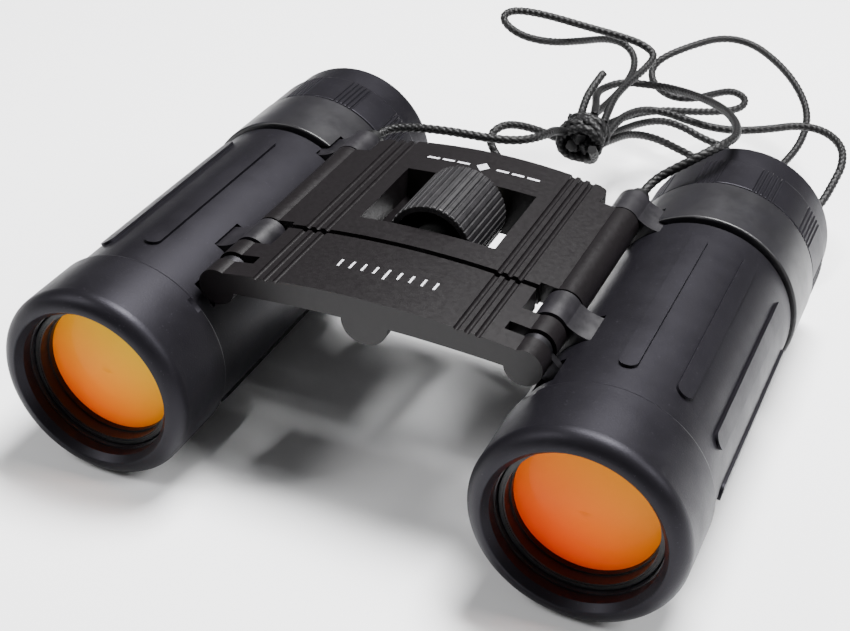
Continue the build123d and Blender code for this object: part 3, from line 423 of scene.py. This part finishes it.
def route_line(name, route):
    """The smooth line of one open NURBS spline that has the route as its control points."""
    data = bpy.data.curves.new(name + "_line", "CURVE")
    data.dimensions = "3D"
    data.resolution_u = 32
    spline = data.splines.new("NURBS")
    spline.points.add(len(route) - 1)
    for point, spot in zip(spline.points, route):
        point.co = (*spot, 1.0)
    spline.order_u = 3
    spline.use_endpoint_u = True
    holder = bpy.data.objects.new(name + "_line", data)
    mesh = bpy.data.meshes.new_from_object(holder)
    line = np.array([vertex.co for vertex in mesh.vertices])
    bpy.data.objects.remove(holder)
    bpy.data.meshes.remove(mesh)
    steps = np.linalg.norm(np.diff(line, axis=0), axis=1)
    return line[np.concatenate(([True], steps > 1e-7))]


def side_frames(line):
    """Two unit vectors across the line at each point, carried along it with no twist."""
    ahead = np.gradient(line, axis=0)
    ahead /= np.linalg.norm(ahead, axis=1)[:, None]
    across = np.zeros_like(line)
    start = np.cross(ahead[0], (0.0, 0.0, 1.0))
    if np.linalg.norm(start) < 0.1:
        start = np.cross(ahead[0], (1.0, 0.0, 0.0))
    across[0] = start / np.linalg.norm(start)
    for here in range(1, len(line)):
        carried = across[here - 1] - ahead[here] * np.dot(across[here - 1], ahead[here])
        across[here] = carried / np.linalg.norm(carried)
    return across, np.cross(ahead, across)


def skin(name, rings, made, along):
    """A closed tube from rings of points, one ring to a row, with a flat face on each end.

    Its UV is the share of the turn across and the ring's given length along.
    """
    count, columns = rings.shape[:2]
    faces = []
    corners_uv = []
    for row in range(count - 1):
        below, above = row * columns, (row + 1) * columns
        for column in range(columns):
            after = (column + 1) % columns
            faces.append((below + column, below + after, above + after, above + column))
            left, right = column / columns, (column + 1) / columns
            corners_uv += [(left, along[row]), (right, along[row])]
            corners_uv += [(right, along[row + 1]), (left, along[row + 1])]
    last = (count - 1) * columns
    smooth = [True] * len(faces) + [False, False]
    faces += [tuple(range(columns))[::-1], tuple(range(last, last + columns))]
    corners_uv += [(0.5, along[0])] * columns + [(0.5, along[-1])] * columns
    mesh = bpy.data.meshes.new(name)
    mesh.from_pydata(rings.reshape(-1, 3).tolist(), [], faces)
    mesh.polygons.foreach_set("use_smooth", smooth)
    mesh.uv_layers.new(name="UVMap").data.foreach_set("uv", np.array(corners_uv).ravel())
    mesh.materials.append(made)
    piece = bpy.data.objects.new(name, mesh)
    scene.collection.objects.link(piece)
    return piece


def braided_tube(name, line, radius, columns=28):
    """A tube whose radius is radius * (0.76 + 0.24 h), where h is the height of the plait on top.

    With u the share of a turn and s the length along the line in pitches, a = 4 (u - s) and
    b = 4 (u + s) count the plaits of the two families. Where the whole parts of a and b add
    up to an even number the first family is on top, otherwise the second. The plait on top has
    h = sin(pi f) ** 0.6 across it and sin(pi g) ** 0.25 along it, f and g being the fractions.
    """
    lengths = np.concatenate(([0.0], np.cumsum(np.linalg.norm(np.diff(line, axis=0), axis=1))))
    across, upward = side_frames(line)
    u = np.arange(columns)[None, :] / columns
    s = lengths[:, None] / PLAIT_PITCH
    a, b = 4 * (u - s), 4 * (u + s)
    first_on_top = (np.floor(a) + np.floor(b)) % 2 == 0
    bow_a, bow_b = np.sin(math.pi * (a % 1.0)), np.sin(math.pi * (b % 1.0))
    height = np.where(first_on_top, bow_a ** 0.6 * bow_b ** 0.25, bow_b ** 0.6 * bow_a ** 0.25)
    reach = (radius * (0.76 + 0.24 * height))[..., None]
    angle = (2 * math.pi * u)[..., None]
    outward = np.cos(angle) * across[:, None, :] + np.sin(angle) * upward[:, None, :]
    piece = skin(name, line[:, None, :] + reach * outward, cord_nylon, lengths / (2 * radius))
    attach(piece, "bridge")
    return piece


# The knot draws the cord's two ends and its loops together. Five uneven turns are laid over the
# gathered strands, and two bights cross them on their way back in.
knot_low, knot_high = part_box("neck_cord_knot")
knot_mid = np.array((knot_low + knot_high) / 2)
knot_long = knot_high.y - knot_low.y


def knot_line(turns, reach, start, stop, lean, phase, wander):
    """A helix about the knot's axis, with t its turn in radians and c its phase.

    Its radius is reach * (1 + wander * sin(2.3 t + c)) and its station leans by lean * sin(t + 0.6).
    """
    share = np.linspace(0.0, 1.0, int(110 * turns) + 40)
    angle = phase + 2 * math.pi * turns * share
    swell = reach * (1 + wander * np.sin(2.3 * angle + phase))
    x = knot_mid[0] + swell * np.cos(angle)
    y = knot_mid[1] + knot_long * (start + (stop - start) * share) + lean * np.sin(angle + 0.6)
    z = knot_mid[2] + swell * np.sin(angle)
    return np.stack([x, y, z], axis=1)


knot_shapes = {
    "knot_wrap": (knot_line(4.6, 3.3 * MM, -0.34, 0.34, 0.6 * MM, 0.4, 0.13), 1.0 * MM),
    "knot_bight": (knot_line(0.7, 4.0 * MM, -0.44, 0.40, 1.4 * MM, 0.2, 0.12), 0.95 * MM),
    "knot_return": (knot_line(0.6, 3.9 * MM, 0.42, -0.42, -1.2 * MM, 2.6, 0.14), 0.95 * MM),
    "knot_strand": (knot_line(0.8, 1.35 * MM, -0.38, 0.42, 0.2 * MM, 1.2, 0.1), 1.25 * MM),
    "knot_second_strand": (knot_line(0.8, 1.35 * MM, -0.36, 0.42, 0.2 * MM, 3.3, 0.1), 1.25 * MM),
    "knot_third_strand": (knot_line(0.8, 1.35 * MM, -0.34, 0.42, 0.2 * MM, 5.4, 0.1), 1.25 * MM),
}
knot_pieces = [braided_tube(name, line, strand_r) for name, (line, strand_r) in knot_shapes.items()]
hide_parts("neck_cord_knot")

cord_pieces = {}
cord_lines = {}
for name, route in cord_routes.items():
    line = route_line(name, route)
    cord_lines[name] = line
    cord_pieces[name] = braided_tube(name + "_braid", line, CORD_R)
    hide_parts(name)

tails = [cord_pieces["neck_cord_front_tail"], cord_pieces["neck_cord_rear_tail"]]
for name, piece in cord_pieces.items():
    if piece in tails:
        continue
    line = cord_lines[name]
